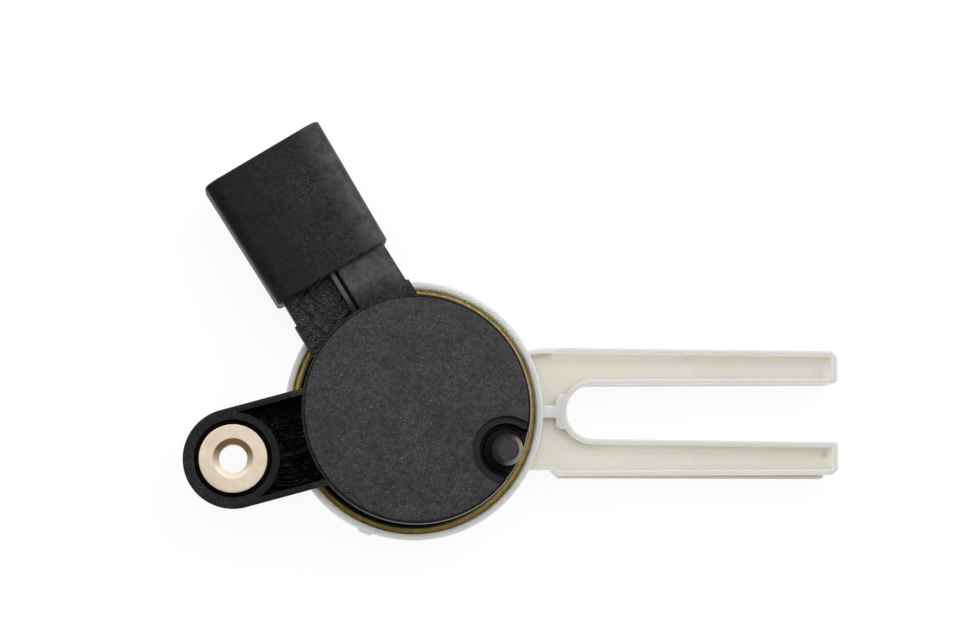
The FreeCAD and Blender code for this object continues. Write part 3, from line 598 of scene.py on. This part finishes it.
def housing_zones_group():
    """Masks for places on the housing, from distances along the ear, along the neck and up."""
    tree, _, leave = group("Housing Zones", [],
                           [("Sunk", "NodeSocketFloat"), ("Ripple", "NodeSocketFloat"),
                            ("Pale", "NodeSocketFloat"), ("Painted Highlight", "NodeSocketFloat"),
                            ("Dark", "NodeSocketFloat")])
    coord = object_point(tree)
    up = axes(tree, coord)[2]
    out = from_axis(tree, coord)
    ear = along(tree, coord, EAR_ANGLE)
    neck = along(tree, coord, NECK_ANGLE)
    side = along(tree, coord, NECK_SIDE)
    past_neck = rising(tree, neck, SHROUD_START)

    # The ear's recess, which takes painted shade, with ripples along the ear
    recess = product(tree, between(tree, ear, EAR_SUNK, 0.0003), between(tree, up, EAR_SUNK_UP, 0.0006))
    stretch = tree.nodes.new("ShaderNodeMapping")
    stretch.inputs["Rotation"].default_value = (0.0, 0.0, math.radians(180.0 - EAR_ANGLE))
    stretch.inputs["Scale"].default_value = (0.35, 1.0, 1.0)
    tree.links.new(coord, stretch.inputs["Vector"])
    wave = noise(tree, stretch.outputs["Vector"], 900.0, 3.0, 0.6)
    tree.links.new(product(tree, wave, recess), leave.inputs["Ripple"])

    # The neck's paler ramp, and painted highlights on the neck's ridge and the shroud's right edge, all
    # broken up by noise
    on_neck = product(tree, falling(tree, neck, NECK_STOP), rising(tree, out, NECK_OUT),
                      rising(tree, neck, NECK_ROOT))
    ramp = product(tree, on_neck, between(tree, side, RAMP_ACROSS, 0.0002),
                   between(tree, up, RAMP_UP, 0.0002))
    ridge = product(tree, on_neck, between(tree, side, RIDGE_ACROSS, 0.0001),
                    between(tree, up, RIDGE_UP, 0.0001), RIDGE_GAIN)
    edge = product(tree, falling(tree, side, SHROUD_EDGE), past_neck)
    patchiness = remap(tree, noise(tree, coord, 420.0, 5.0, 0.7), (0.36, 0.64), 0.25, 1.0)
    pale_and_highlights = product(tree, highest(tree, ramp, ridge, edge), patchiness)

    # The notch round the peg, with painted shade in it, a painted highlight on one side of the peg's
    # shoulder, and the peg's paler crown
    from_peg = distance(tree, flatten(tree, coord), PEG_AT)
    on_peg = rising(tree, up, PEG_UP)
    # Painted shade in the notch round the peg
    notch = product(tree, falling(tree, from_peg, NOTCH_OUT), falling(tree, up, NOTCH_UP))
    tree.links.new(highest(tree, recess, notch), leave.inputs["Sunk"])
    crown = product(tree, falling(tree, from_peg, PEG_CROWN, 0.40), on_peg)
    tree.links.new(highest(tree, pale_and_highlights, crown), leave.inputs["Pale"])
    # Painted highlight on the peg's shoulder, on the side that points along PEG_TURN
    peg_along = PEG_REACH * math.cos(PEG_ANGLE - math.radians(PEG_TURN))
    toward = math_node(tree, "SUBTRACT", along(tree, coord, PEG_TURN), peg_along)
    side_tone = product(tree, between(tree, from_peg, PEG_SHOULDER, 0.0001), on_peg,
                   rising(tree, toward, PEG_RUN, 0.6))
    # Painted highlight along the drum's lip, on upward faces on the side that points along LIP_TURN
    lip = product(tree, between(tree, out, LIP_OUT, 0.00004), between(tree, up, LIP_UP, 0.0002),
                  rising(tree, axes(tree, object_normal(tree))[2], (0.2, 0.5)),
                  rising(tree, along(tree, coord, LIP_TURN), LIP_RUN))
    tree.links.new(highest(tree, lip, side_tone), leave.inputs["Painted Highlight"])

    # Painted shade on the left and far part of the shroud, and the ear's darker rails
    shroud = product(tree, highest(tree, rising(tree, side, SHROUD_ACROSS),
                                   rising(tree, neck, SHROUD_ALONG, 0.75)), past_neck)
    rails = product(tree, rising(tree, ear, EAR_RAILS, 0.9), remap(tree, ear, EAR_RAILS_FADE, 1.0, 0.35))
    tree.links.new(highest(tree, shroud, rails), leave.inputs["Dark"])
    return tree


def machined_rings_group():
    """Turned metal: fine rings about an upright axis and a slow change of tone round them."""
    tree, enter, leave = group("Machined Rings",
                               [("Vector", "NodeSocketVector", None),
                                ("Colour", "NodeSocketColor", (0.7, 0.6, 0.5, 1.0)),
                                ("Shade", "NodeSocketColor", (0.5, 0.42, 0.32, 1.0))],
                               [("Colour", "NodeSocketColor"), ("Roughness", "NodeSocketFloat"),
                                ("Height", "NodeSocketFloat")])
    ring = tree.nodes.new("ShaderNodeCombineXYZ")
    tree.links.new(from_axis(tree, enter.outputs["Vector"]), ring.inputs["X"])
    lathe = noise(tree, ring.outputs["Vector"], 5200.0, 2.0, 0.6)
    cloud = noise(tree, enter.outputs["Vector"], 420.0, 3.0, 0.55)
    tone = blend_sum(tree, lathe, 0.55, cloud, 0.45)
    tree.links.new(mix_colour(tree, rising(tree, tone, TONE_SPAN), enter.outputs["Shade"],
                              enter.outputs["Colour"]), leave.inputs["Colour"])
    tree.links.new(remap(tree, tone, ROUGH_SPAN, 0.42, 0.30), leave.inputs["Roughness"])
    tree.links.new(lathe, leave.inputs["Height"])
    return tree


def new_material(name):
    """A material with a Principled shader; returns it with its tree and shader."""
    mat = bpy.data.materials.new(name)
    mat.use_nodes = True
    return mat, mat.node_tree, mat.node_tree.nodes["Principled BSDF"]


def place_group(tree, name, **values):
    """A copy of a node group in a material, with its own values."""
    node = tree.nodes.new("ShaderNodeGroup")
    node.node_tree = bpy.data.node_groups[name]
    for label, value in values.items():
        node.inputs[label].default_value = (*value, 1.0) if isinstance(value, tuple) else value
    return node


def bump(tree, shader, height, strength, deep):
    """A bump node from a height to the shader's normal."""
    node = tree.nodes.new("ShaderNodeBump")
    node.inputs["Strength"].default_value = strength
    node.inputs["Distance"].default_value = deep
    tree.links.new(height, node.inputs["Height"])
    tree.links.new(node.outputs["Normal"], shader.inputs["Normal"])


def black_moulding(name, colour, speck, rough, shine):
    """Black moulded plastic without its colour and bump links; returns its tree, shader and grain too."""
    mat, tree, shader = new_material(name)
    grain = place_group(tree, "Moulded Grain", Colour=colour, Speck=speck, Roughness=rough)
    tree.links.new(grain.outputs["Roughness"], shader.inputs["Roughness"])
    shader.inputs["Specular IOR Level"].default_value = shine
    return mat, tree, shader, grain


def housing_moulding(name, colour):
    """Housing plastic: grain, painted shade in the ear's rippled recess, the peg's notch and the shroud,
    darker ear rails, paler places, and painted highlights on the neck's ridge, the shroud's edge, the drum's
    lip and the peg's shoulder.
    """
    mat, tree, shader, grain = black_moulding(name, colour, scaled(colour, 8.0), 0.46, 0.14)
    zones = place_group(tree, "Housing Zones")
    # Painted shade on the shroud's left and far part, and darker ear rails
    tint = mix_colour(tree, product(tree, zones.outputs["Dark"], 0.72), grain.outputs["Colour"],
                      (0.0032, 0.0031, 0.0034))
    # Painted shade in the ear's recess and in the notch round the peg
    tint = mix_colour(tree, zones.outputs["Sunk"], tint, (0.0020, 0.0019, 0.0020))
    # Paler places: the neck's ramp and the peg's crown, with painted highlights on the neck's ridge and the
    # shroud's right edge
    tint = mix_colour(tree, product(tree, zones.outputs["Pale"], 0.80), tint, (0.075, 0.075, 0.077))
    # Painted highlights on the drum's lip and the peg's shoulder
    tint = mix_colour(tree, zones.outputs["Painted Highlight"], tint, (0.34, 0.32, 0.29))
    tree.links.new(tint, shader.inputs["Base Color"])
    height = math_node(tree, "ADD", grain.outputs["Height"], product(tree, zones.outputs["Ripple"], 9.0))
    bump(tree, shader, height, 0.35, GRAIN_DEEP)
    return mat


def cover_moulding(name, colour):
    """Cover plastic: grain, with painted shade on the step down at the notch."""
    mat, tree, shader, grain = black_moulding(name, colour, scaled(colour, 10.0), 0.50, 0.36)
    # Painted shade: the step down at the notch is darker
    step = falling(tree, axes(tree, object_point(tree))[2], COVER_STEP)
    tree.links.new(mix_colour(tree, step, grain.outputs["Colour"], (0.003, 0.0028, 0.003)),
                   shader.inputs["Base Color"])
    bump(tree, shader, grain.outputs["Height"], 0.60, GRAIN_DEEP)
    return mat


def rough_plastic(name, colour, speck, shine):
    """Unpolished black plastic of a rough floor."""
    mat, tree, shader, grain = black_moulding(name, colour, speck, 0.42, shine)
    tree.links.new(grain.outputs["Colour"], shader.inputs["Base Color"])
    bump(tree, shader, grain.outputs["Height"], 0.5, GRAIN_DEEP)
    return mat


def natural_moulding(name, colour):
    """Off-white moulded plastic, slightly see-through, with faint clouds and mould marks, and painted light
    and shade on its walls, rim, rib tops, floors and groove.
    """
    mat, tree, shader = new_material(name)
    coord = object_point(tree)
    x, y, z = axes(tree, coord)
    out = from_axis(tree, coord)
    normal = object_normal(tree)
    upward = rising(tree, axes(tree, normal)[2], UPWARD)

    # Warm and rosy clouds, and cooler tops
    cloud = noise(tree, coord, 60.0, 3.0, 0.5)
    tint = mix_colour(tree, rising(tree, cloud, TONE_SPAN), colour, scaled(colour, 0.985, 0.965, 0.915))
    patch = noise(tree, coord, 38.0, 2.0, 0.5)
    tint = mix_colour(tree, rising(tree, patch, (0.55, 0.72)), tint, scaled(colour, 1.0, 0.955, 0.93))
    tint = mix_colour(tree, rising(tree, z, LEVER_TOP, 0.9), tint, scaled(colour, 0.94, 0.95, 1.00))

    # Painted light: paler lower walls and lower rim, where less lamp light comes
    wall = rising(tree, along(tree, normal, WALL_TURN), (0.1, 0.6))
    tint = mix_colour(tree, wall, tint, scaled(colour, 1.5, cap=0.92))
    rim = product(tree, rising(tree, along(tree, coord, RIM_TURN), RIM_RUN), rising(tree, out, RIM_OUT),
                  falling(tree, x, RIM_STOP))
    tint = mix_colour(tree, rim, tint, scaled(colour, 1.25))

    # Painted shade on the tops of the fork's ribs, and painted light on the floor beside its walls
    crest = product(tree, rising(tree, x, CREST_START), rising(tree, z, CREST_UP), upward)
    tint = mix_colour(tree, crest, tint, scaled(colour, 0.78, 0.80, 0.85))
    inner = product(tree, between(tree, y, LOWER_TINE_WALL, 0.0014), rising(tree, x, LOWER_TINE_START, 0.60))
    beside = highest(tree, rising(tree, y, UPPER_TINE_WALL), inner, rising(tree, x, TINE_END))
    beside = product(tree, beside, between(tree, x, TINE_SPAN, 0.0010), falling(tree, z, TINE_FLOOR_UP),
                     upward)
    tint = mix_colour(tree, beside, tint, scaled(colour, 1.36))

    # Painted shade on the bottom of the spring's groove, then the mould marks and a slow darkening along the
    # fork
    groove = product(tree, between(tree, out, GROOVE_OUT, 0.0001), falling(tree, z, GROOVE_UP, 0.95), upward)
    tint = mix_colour(tree, groove, tint, (0.02, 0.018, 0.014))
    for place, size, tone in MOULD_MARKS:
        spot = falling(tree, distance(tree, coord, place), (size - 0.0002, size + 0.0003))
        tint = mix_colour(tree, spot, tint, scaled(colour, tone))
    tint = mix_colour(tree, rising(tree, x, FORK_RUN, 0.12), tint, (0.30, 0.29, 0.27))
    tree.links.new(tint, shader.inputs["Base Color"])

    grain = noise(tree, coord, 900.0, 2.0, 0.5)
    tree.links.new(remap(tree, grain, ROUGH_SPAN, 0.40, 0.52), shader.inputs["Roughness"])
    bump(tree, shader, grain, 0.12, 0.00005)
    shader.inputs["Subsurface Weight"].default_value = 0.9
    shader.inputs["Subsurface Radius"].default_value = (0.0045, 0.0040, 0.0030)
    shader.inputs["Subsurface Scale"].default_value = 1.0
    return mat


def turned_metal(name, colour, shade, centre):
    """Plated metal turned about an upright axis, with a painted reflection in the countersunk mouth, dark on
    one side and pale on the other, and a face that is darker towards one side.
    """
    mat, tree, shader = new_material(name)
    mapping = tree.nodes.new("ShaderNodeMapping")
    mapping.inputs["Location"].default_value = (-centre[0], -centre[1], 0.0)
    tree.links.new(object_point(tree), mapping.inputs["Vector"])
    coord = mapping.outputs["Vector"]
    rings = place_group(tree, "Machined Rings", Colour=colour, Shade=shade)
    tree.links.new(coord, rings.inputs["Vector"])
    tree.links.new(rings.outputs["Roughness"], shader.inputs["Roughness"])
    bump(tree, shader, rings.outputs["Height"], 0.25, 0.00003)

    film = noise(tree, coord, 330.0, 2.0, 0.5)
    plate = mix_colour(tree, rising(tree, film, (0.50, 0.66), 0.8), rings.outputs["Colour"],
                       scaled(colour, 0.95, 1.0, 0.80))
    # Darker towards the lower left of the face's outer part
    side_tone = rising(tree, along(tree, coord, DARKER_SIDE_TURN), DARKER_SIDE_RUN, 0.5)
    plate = mix_colour(tree, side_tone, plate, shade)
    # Painted reflection in the countersunk mouth: dark gold towards one side, pale towards the other
    mouth = falling(tree, from_axis(tree, coord), (MOUTH_R, MOUTH_R + MOUTH_EDGE))
    painted_sheen = rising(tree, along(tree, coord, PAINTED_SHEEN_TURN), PAINTED_SHEEN_RUN)
    painted_mouth_reflection = mix_colour(tree, painted_sheen, scaled(colour, 0.33, 0.24, 0.13), scaled(colour, 1.14, 1.17, 1.10))
    tree.links.new(mix_colour(tree, mouth, plate, painted_mouth_reflection), shader.inputs["Base Color"])
    dull = product(tree, mouth, falling(tree, painted_sheen, (0.0, 1.0)))
    tree.links.new(remap(tree, dull, (0.0, 1.0), 0.4, 0.95), shader.inputs["Metallic"])
    return mat


def small_finish(name, colour, darker, rough, metal, scale):
    """Plain finish for a small inner piece: two tones of one colour under a cloud of noise."""
    mat, tree, shader = new_material(name)
    cloud = noise(tree, object_point(tree), scale, 3.0, 0.55)
    tree.links.new(mix_colour(tree, rising(tree, cloud, TONE_SPAN), darker, colour),
                   shader.inputs["Base Color"])
    tree.links.new(remap(tree, cloud, ROUGH_SPAN, rough + 0.08, rough - 0.08), shader.inputs["Roughness"])
    shader.inputs["Metallic"].default_value = metal
    bump(tree, shader, cloud, 0.1, 0.00004)
    return mat


def spring_wire(name, colour):
    """Spring wire in two tones, with painted shadow on the inner side where the drum stands before it and a
    thin painted dark line beside the drum's lip.
    """
    mat, tree, shader = new_material(name)
    coord = object_point(tree)
    out = from_axis(tree, coord)
    cloud = noise(tree, coord, 700.0, 3.0, 0.55)
    tint = mix_colour(tree, rising(tree, cloud, TONE_SPAN), scaled(colour, 0.7), colour)
    # Painted shadow of the drum on the coil's inner side, and a thin painted dark line on one side
    shade = product(tree, rising(tree, along(tree, coord, SHADE_TURN), SHADE_RUN, 0.95),
                    falling(tree, out, SHADE_OUT))
    line = product(tree, rising(tree, along(tree, coord, LINE_TURN), LINE_RUN, 0.8),
                   falling(tree, out, LINE_OUT))
    shade = highest(tree, shade, line)
    tree.links.new(mix_colour(tree, shade, tint, scaled(colour, 0.03)), shader.inputs["Base Color"])
    tree.links.new(remap(tree, cloud, ROUGH_SPAN, 0.46, 0.30), shader.inputs["Roughness"])
    tree.links.new(falling(tree, shade, (0.0, 1.0), 0.4), shader.inputs["Metallic"])
    bump(tree, shader, cloud, 0.1, 0.00004)
    return mat


def dress(node, material):
    """Gives a CAD node one material."""
    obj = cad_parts[node]
    obj.data.materials.clear()
    obj.data.materials.append(material)


class SENSOR_OT_finishes(bpy.types.Operator):
    """Build the shared node groups that the finishes use"""
    bl_idname = "sensor.finishes"
    bl_label = "Shared Finishes"

    def execute(self, context):
        moulded_grain_group()
        housing_zones_group()
        machined_rings_group()
        return {"FINISHED"}


class SENSOR_OT_housing(bpy.types.Operator):
    """Finish the black housing and its front cover"""
    bl_idname = "sensor.housing"
    bl_label = "Housing and Cover"

    def execute(self, context):
        finish = context.scene.sensor_finish
        dress("housing", housing_moulding("Housing Black", tuple(finish.housing)))
        dress("front_cover", cover_moulding("Cover Black", tuple(finish.cover)))
        return {"FINISHED"}


class SENSOR_OT_floors(bpy.types.Operator):
    """Lay the rippled floor of the ear's web and the lumpy floor of the neck"""
    bl_idname = "sensor.floors"
    bl_label = "Rough Floors"

    def execute(self, context):
        web = web_floor()
        # The web floor's near-black colour, darker than the housing, is painted shade for the deep recess
        web.data.materials.append(rough_plastic("Web Floor Black", (0.0015, 0.0014, 0.0015),
                                                (0.006, 0.006, 0.006), 0.08))
        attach(web, "sensor_body")

        neck = neck_floor()
        neck.data.materials.append(rough_plastic("Neck Floor Black", (0.0030, 0.0028, 0.0031),
                                                 (0.085, 0.081, 0.086), 0.25))
        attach(neck, "sensor_body")
        return {"FINISHED"}


class SENSOR_OT_bush(bpy.types.Operator):
    """Finish the steel bush in the ear"""
    bl_idname = "sensor.bush"
    bl_label = "Mounting Bush"

    def execute(self, context):
        low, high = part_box("mounting_bush")
        centre = (low + high) / 2
        colour = tuple(context.scene.sensor_finish.bush)
        shade = scaled(colour, 0.76, 0.70, 0.62)
        dress("mounting_bush", turned_metal("Bush Plated Steel", colour, shade, centre))
        return {"FINISHED"}


class SENSOR_OT_lever(bpy.types.Operator):
    """Finish the off-white fork lever"""
    bl_idname = "sensor.lever"
    bl_label = "Fork Lever"

    def execute(self, context):
        dress("fork_lever", natural_moulding("Lever Natural", tuple(context.scene.sensor_finish.lever)))
        return {"FINISHED"}


class SENSOR_OT_spring(bpy.types.Operator):
    """Wind the return spring between the drum and the rim"""
    bl_idname = "sensor.spring"
    bl_label = "Return Spring"

    def execute(self, context):
        size = context.scene.sensor_spring
        points, faces = tube(spring_path(size), size.wire)
        obj = put_mesh("return_spring_coil", points, faces)
        obj.data.materials.append(spring_wire("Spring Wire", tuple(context.scene.sensor_finish.spring)))
        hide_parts("return_spring")
        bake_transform(obj)
        return {"FINISHED"}


class SENSOR_OT_inner(bpy.types.Operator):
    """Finish the pieces inside the drum, the pivot and the socket's contacts"""
    bl_idname = "sensor.inner"
    bl_label = "Inner Pieces"

    def execute(self, context):
        finishes = {name: small_finish(name, *look) for name, look in INNER_LOOKS.items()}
        for node, name in INNER_FINISH.items():
            dress(node, finishes[name])
        return {"FINISHED"}


def studio_world(scene):
    """A world that is white to the camera, graded in mirrors and weaker as plain light."""
    world = bpy.data.worlds.new("Studio")
    scene.world = world
    world.use_nodes = True
    tree = world.node_tree
    back = tree.nodes["Background"]
    back.inputs["Color"].default_value = (1.0, 1.0, 1.0, 1.0)
    path = tree.nodes.new("ShaderNodeLightPath")
    seen = path.outputs["Is Camera Ray"]
    mirrored = highest(tree, path.outputs["Is Glossy Ray"], path.outputs["Is Transmission Ray"])
    _, y, z = axes(tree, tree.nodes.new("ShaderNodeTexCoord").outputs["Generated"])
    sky = product(tree, remap(tree, z, (0.40, 0.80), 1.0, 0.22), remap(tree, y, (-0.5, 0.35), 0.35, 1.0))
    shown = math_node(tree, "ADD", seen, product(tree, mirrored, sky))
    others = math_node(tree, "SUBTRACT", math_node(tree, "SUBTRACT", 1.0, seen), mirrored)
    tree.links.new(math_node(tree, "ADD", shown, product(tree, others, WORLD_LIGHT)), back.inputs["Strength"])


def pale_floor(name, colour):
    """Floor that glows white and keeps a faint shadow; clear from below and to diffuse light."""
    mat, tree, shader = new_material(name)
    shader.inputs["Base Color"].default_value = (*colour, 1.0)
    shader.inputs["Roughness"].default_value = 0.9
    glow = tree.nodes.new("ShaderNodeEmission")
    glow.inputs["Color"].default_value = (1.0, 1.0, 1.0, 1.0)
    clear = tree.nodes.new("ShaderNodeBsdfTransparent")
    path = tree.nodes.new("ShaderNodeLightPath")
    seen = highest(tree, path.outputs["Is Camera Ray"], path.outputs["Is Glossy Ray"],
                   path.outputs["Is Transmission Ray"])
    behind = tree.nodes.new("ShaderNodeNewGeometry").outputs["Backfacing"]
    lit = tree.nodes.new("ShaderNodeMixShader")
    tree.links.new(product(tree, seen, FLOOR_GLOW), lit.inputs["Fac"])
    tree.links.new(shader.outputs["BSDF"], lit.inputs[1])
    tree.links.new(glow.outputs["Emission"], lit.inputs[2])
    shown = tree.nodes.new("ShaderNodeMixShader")
    tree.links.new(highest(tree, path.outputs["Is Diffuse Ray"], behind), shown.inputs["Fac"])
    tree.links.new(lit.outputs["Shader"], shown.inputs[1])
    tree.links.new(clear.outputs["BSDF"], shown.inputs[2])
    tree.links.new(shown.outputs["Shader"], tree.nodes["Material Output"].inputs["Surface"])
    return mat


def area_lamp(name, place, size, power):
    """A square area lamp at a place, facing the sensor."""
    data = bpy.data.lights.new(name, "AREA")
    data.shape = "SQUARE"
    data.size = size
    data.energy = power
    obj = bpy.data.objects.new(name, data)
    obj.location = place
    obj.rotation_euler = (Vector(LAMP_AIM) - Vector(place)).to_track_quat("-Z", "Y").to_euler()
    bpy.context.scene.collection.objects.link(obj)


class SENSOR_OT_stage(bpy.types.Operator):
    """Set out the floor, the lamps and the camera"""
    bl_idname = "sensor.stage"
    bl_label = "Studio Stage"

    def execute(self, context):
        scene = context.scene
        stage = scene.sensor_stage
        scene.view_settings.view_transform = "Standard"
        studio_world(scene)

        corners = np.array([[-1.0, -1.0, 0.0], [1.0, -1.0, 0.0], [1.0, 1.0, 0.0], [-1.0, 1.0, 0.0]])
        corners = corners * FLOOR_HALF + np.array([0.0, 0.0, CAD_BOX[0][2] - FLOOR_GAP])
        floor = put_mesh("floor", corners, [[0, 1, 2, 3]])
        floor.data.materials.append(pale_floor("Floor Pale", tuple(stage.floor)))

        area_lamp("key_lamp", (0.38, 0.46, 0.72), 0.85, 5.5)
        area_lamp("fill_lamp", (-0.36, 0.42, 0.68), 0.65, 2.0)

        data = bpy.data.cameras.new("photo_camera")
        data.sensor_width = SENSOR_WIDE
        data.lens = stage.focal_px * SENSOR_WIDE / PHOTO_WIDE
        data.clip_start = 0.01
        camera = bpy.data.objects.new("photo_camera", data)
        turn = Matrix.Rotation(stage.yaw, 4, "Y") @ Matrix.Rotation(stage.pitch, 4, "X")
        turn = turn @ Matrix.Rotation(stage.roll, 4, "Z")
        camera.matrix_world = Matrix.Translation(Vector(stage.eye)) @ turn
        scene.collection.objects.link(camera)
        scene.camera = camera
        return {"FINISHED"}


class SENSOR_PT_panel(bpy.types.Panel):
    """Sidebar list of the sensor's operators and values"""
    bl_label = "Pedal Position Sensor"
    bl_idname = "SENSOR_PT_panel"
    bl_space_type = "VIEW_3D"
    bl_region_type = "UI"
    bl_category = "Sensor"

    def draw(self, context):
        for operator in OPERATORS:
            self.layout.operator(operator.bl_idname)
        scene = context.scene
        for settings in (scene.sensor_finish, scene.sensor_spring, scene.sensor_stage):
            for name in settings.__annotations__:
                self.layout.prop(settings, name)


GROUPS = (("sensor_finish", SensorFinish), ("sensor_spring", SensorSpring), ("sensor_stage", SensorStage))
OPERATORS = (SENSOR_OT_finishes, SENSOR_OT_housing, SENSOR_OT_floors, SENSOR_OT_bush, SENSOR_OT_lever,
             SENSOR_OT_spring, SENSOR_OT_inner, SENSOR_OT_stage)


def register():
    """Registers the classes and their settings on the scene."""
    for name, settings in GROUPS:
        bpy.utils.register_class(settings)
        setattr(bpy.types.Scene, name, bpy.props.PointerProperty(type=settings))
    for operator in OPERATORS:
        bpy.utils.register_class(operator)
    bpy.utils.register_class(SENSOR_PT_panel)


def unregister():
    """Removes the classes and their settings."""
    bpy.utils.unregister_class(SENSOR_PT_panel)
    for operator in reversed(OPERATORS):
        bpy.utils.unregister_class(operator)
    for name, settings in reversed(GROUPS):
        delattr(bpy.types.Scene, name)
        bpy.utils.unregister_class(settings)


def main():
    """Runs every operator in order."""
    register()
    bpy.ops.sensor.finishes()
    bpy.ops.sensor.housing()
    bpy.ops.sensor.floors()
    bpy.ops.sensor.bush()
    bpy.ops.sensor.lever()
    bpy.ops.sensor.spring()
    bpy.ops.sensor.inner()
    bpy.ops.sensor.stage()
    bpy.context.view_layer.update()


if __name__ == "__main__":
    main()
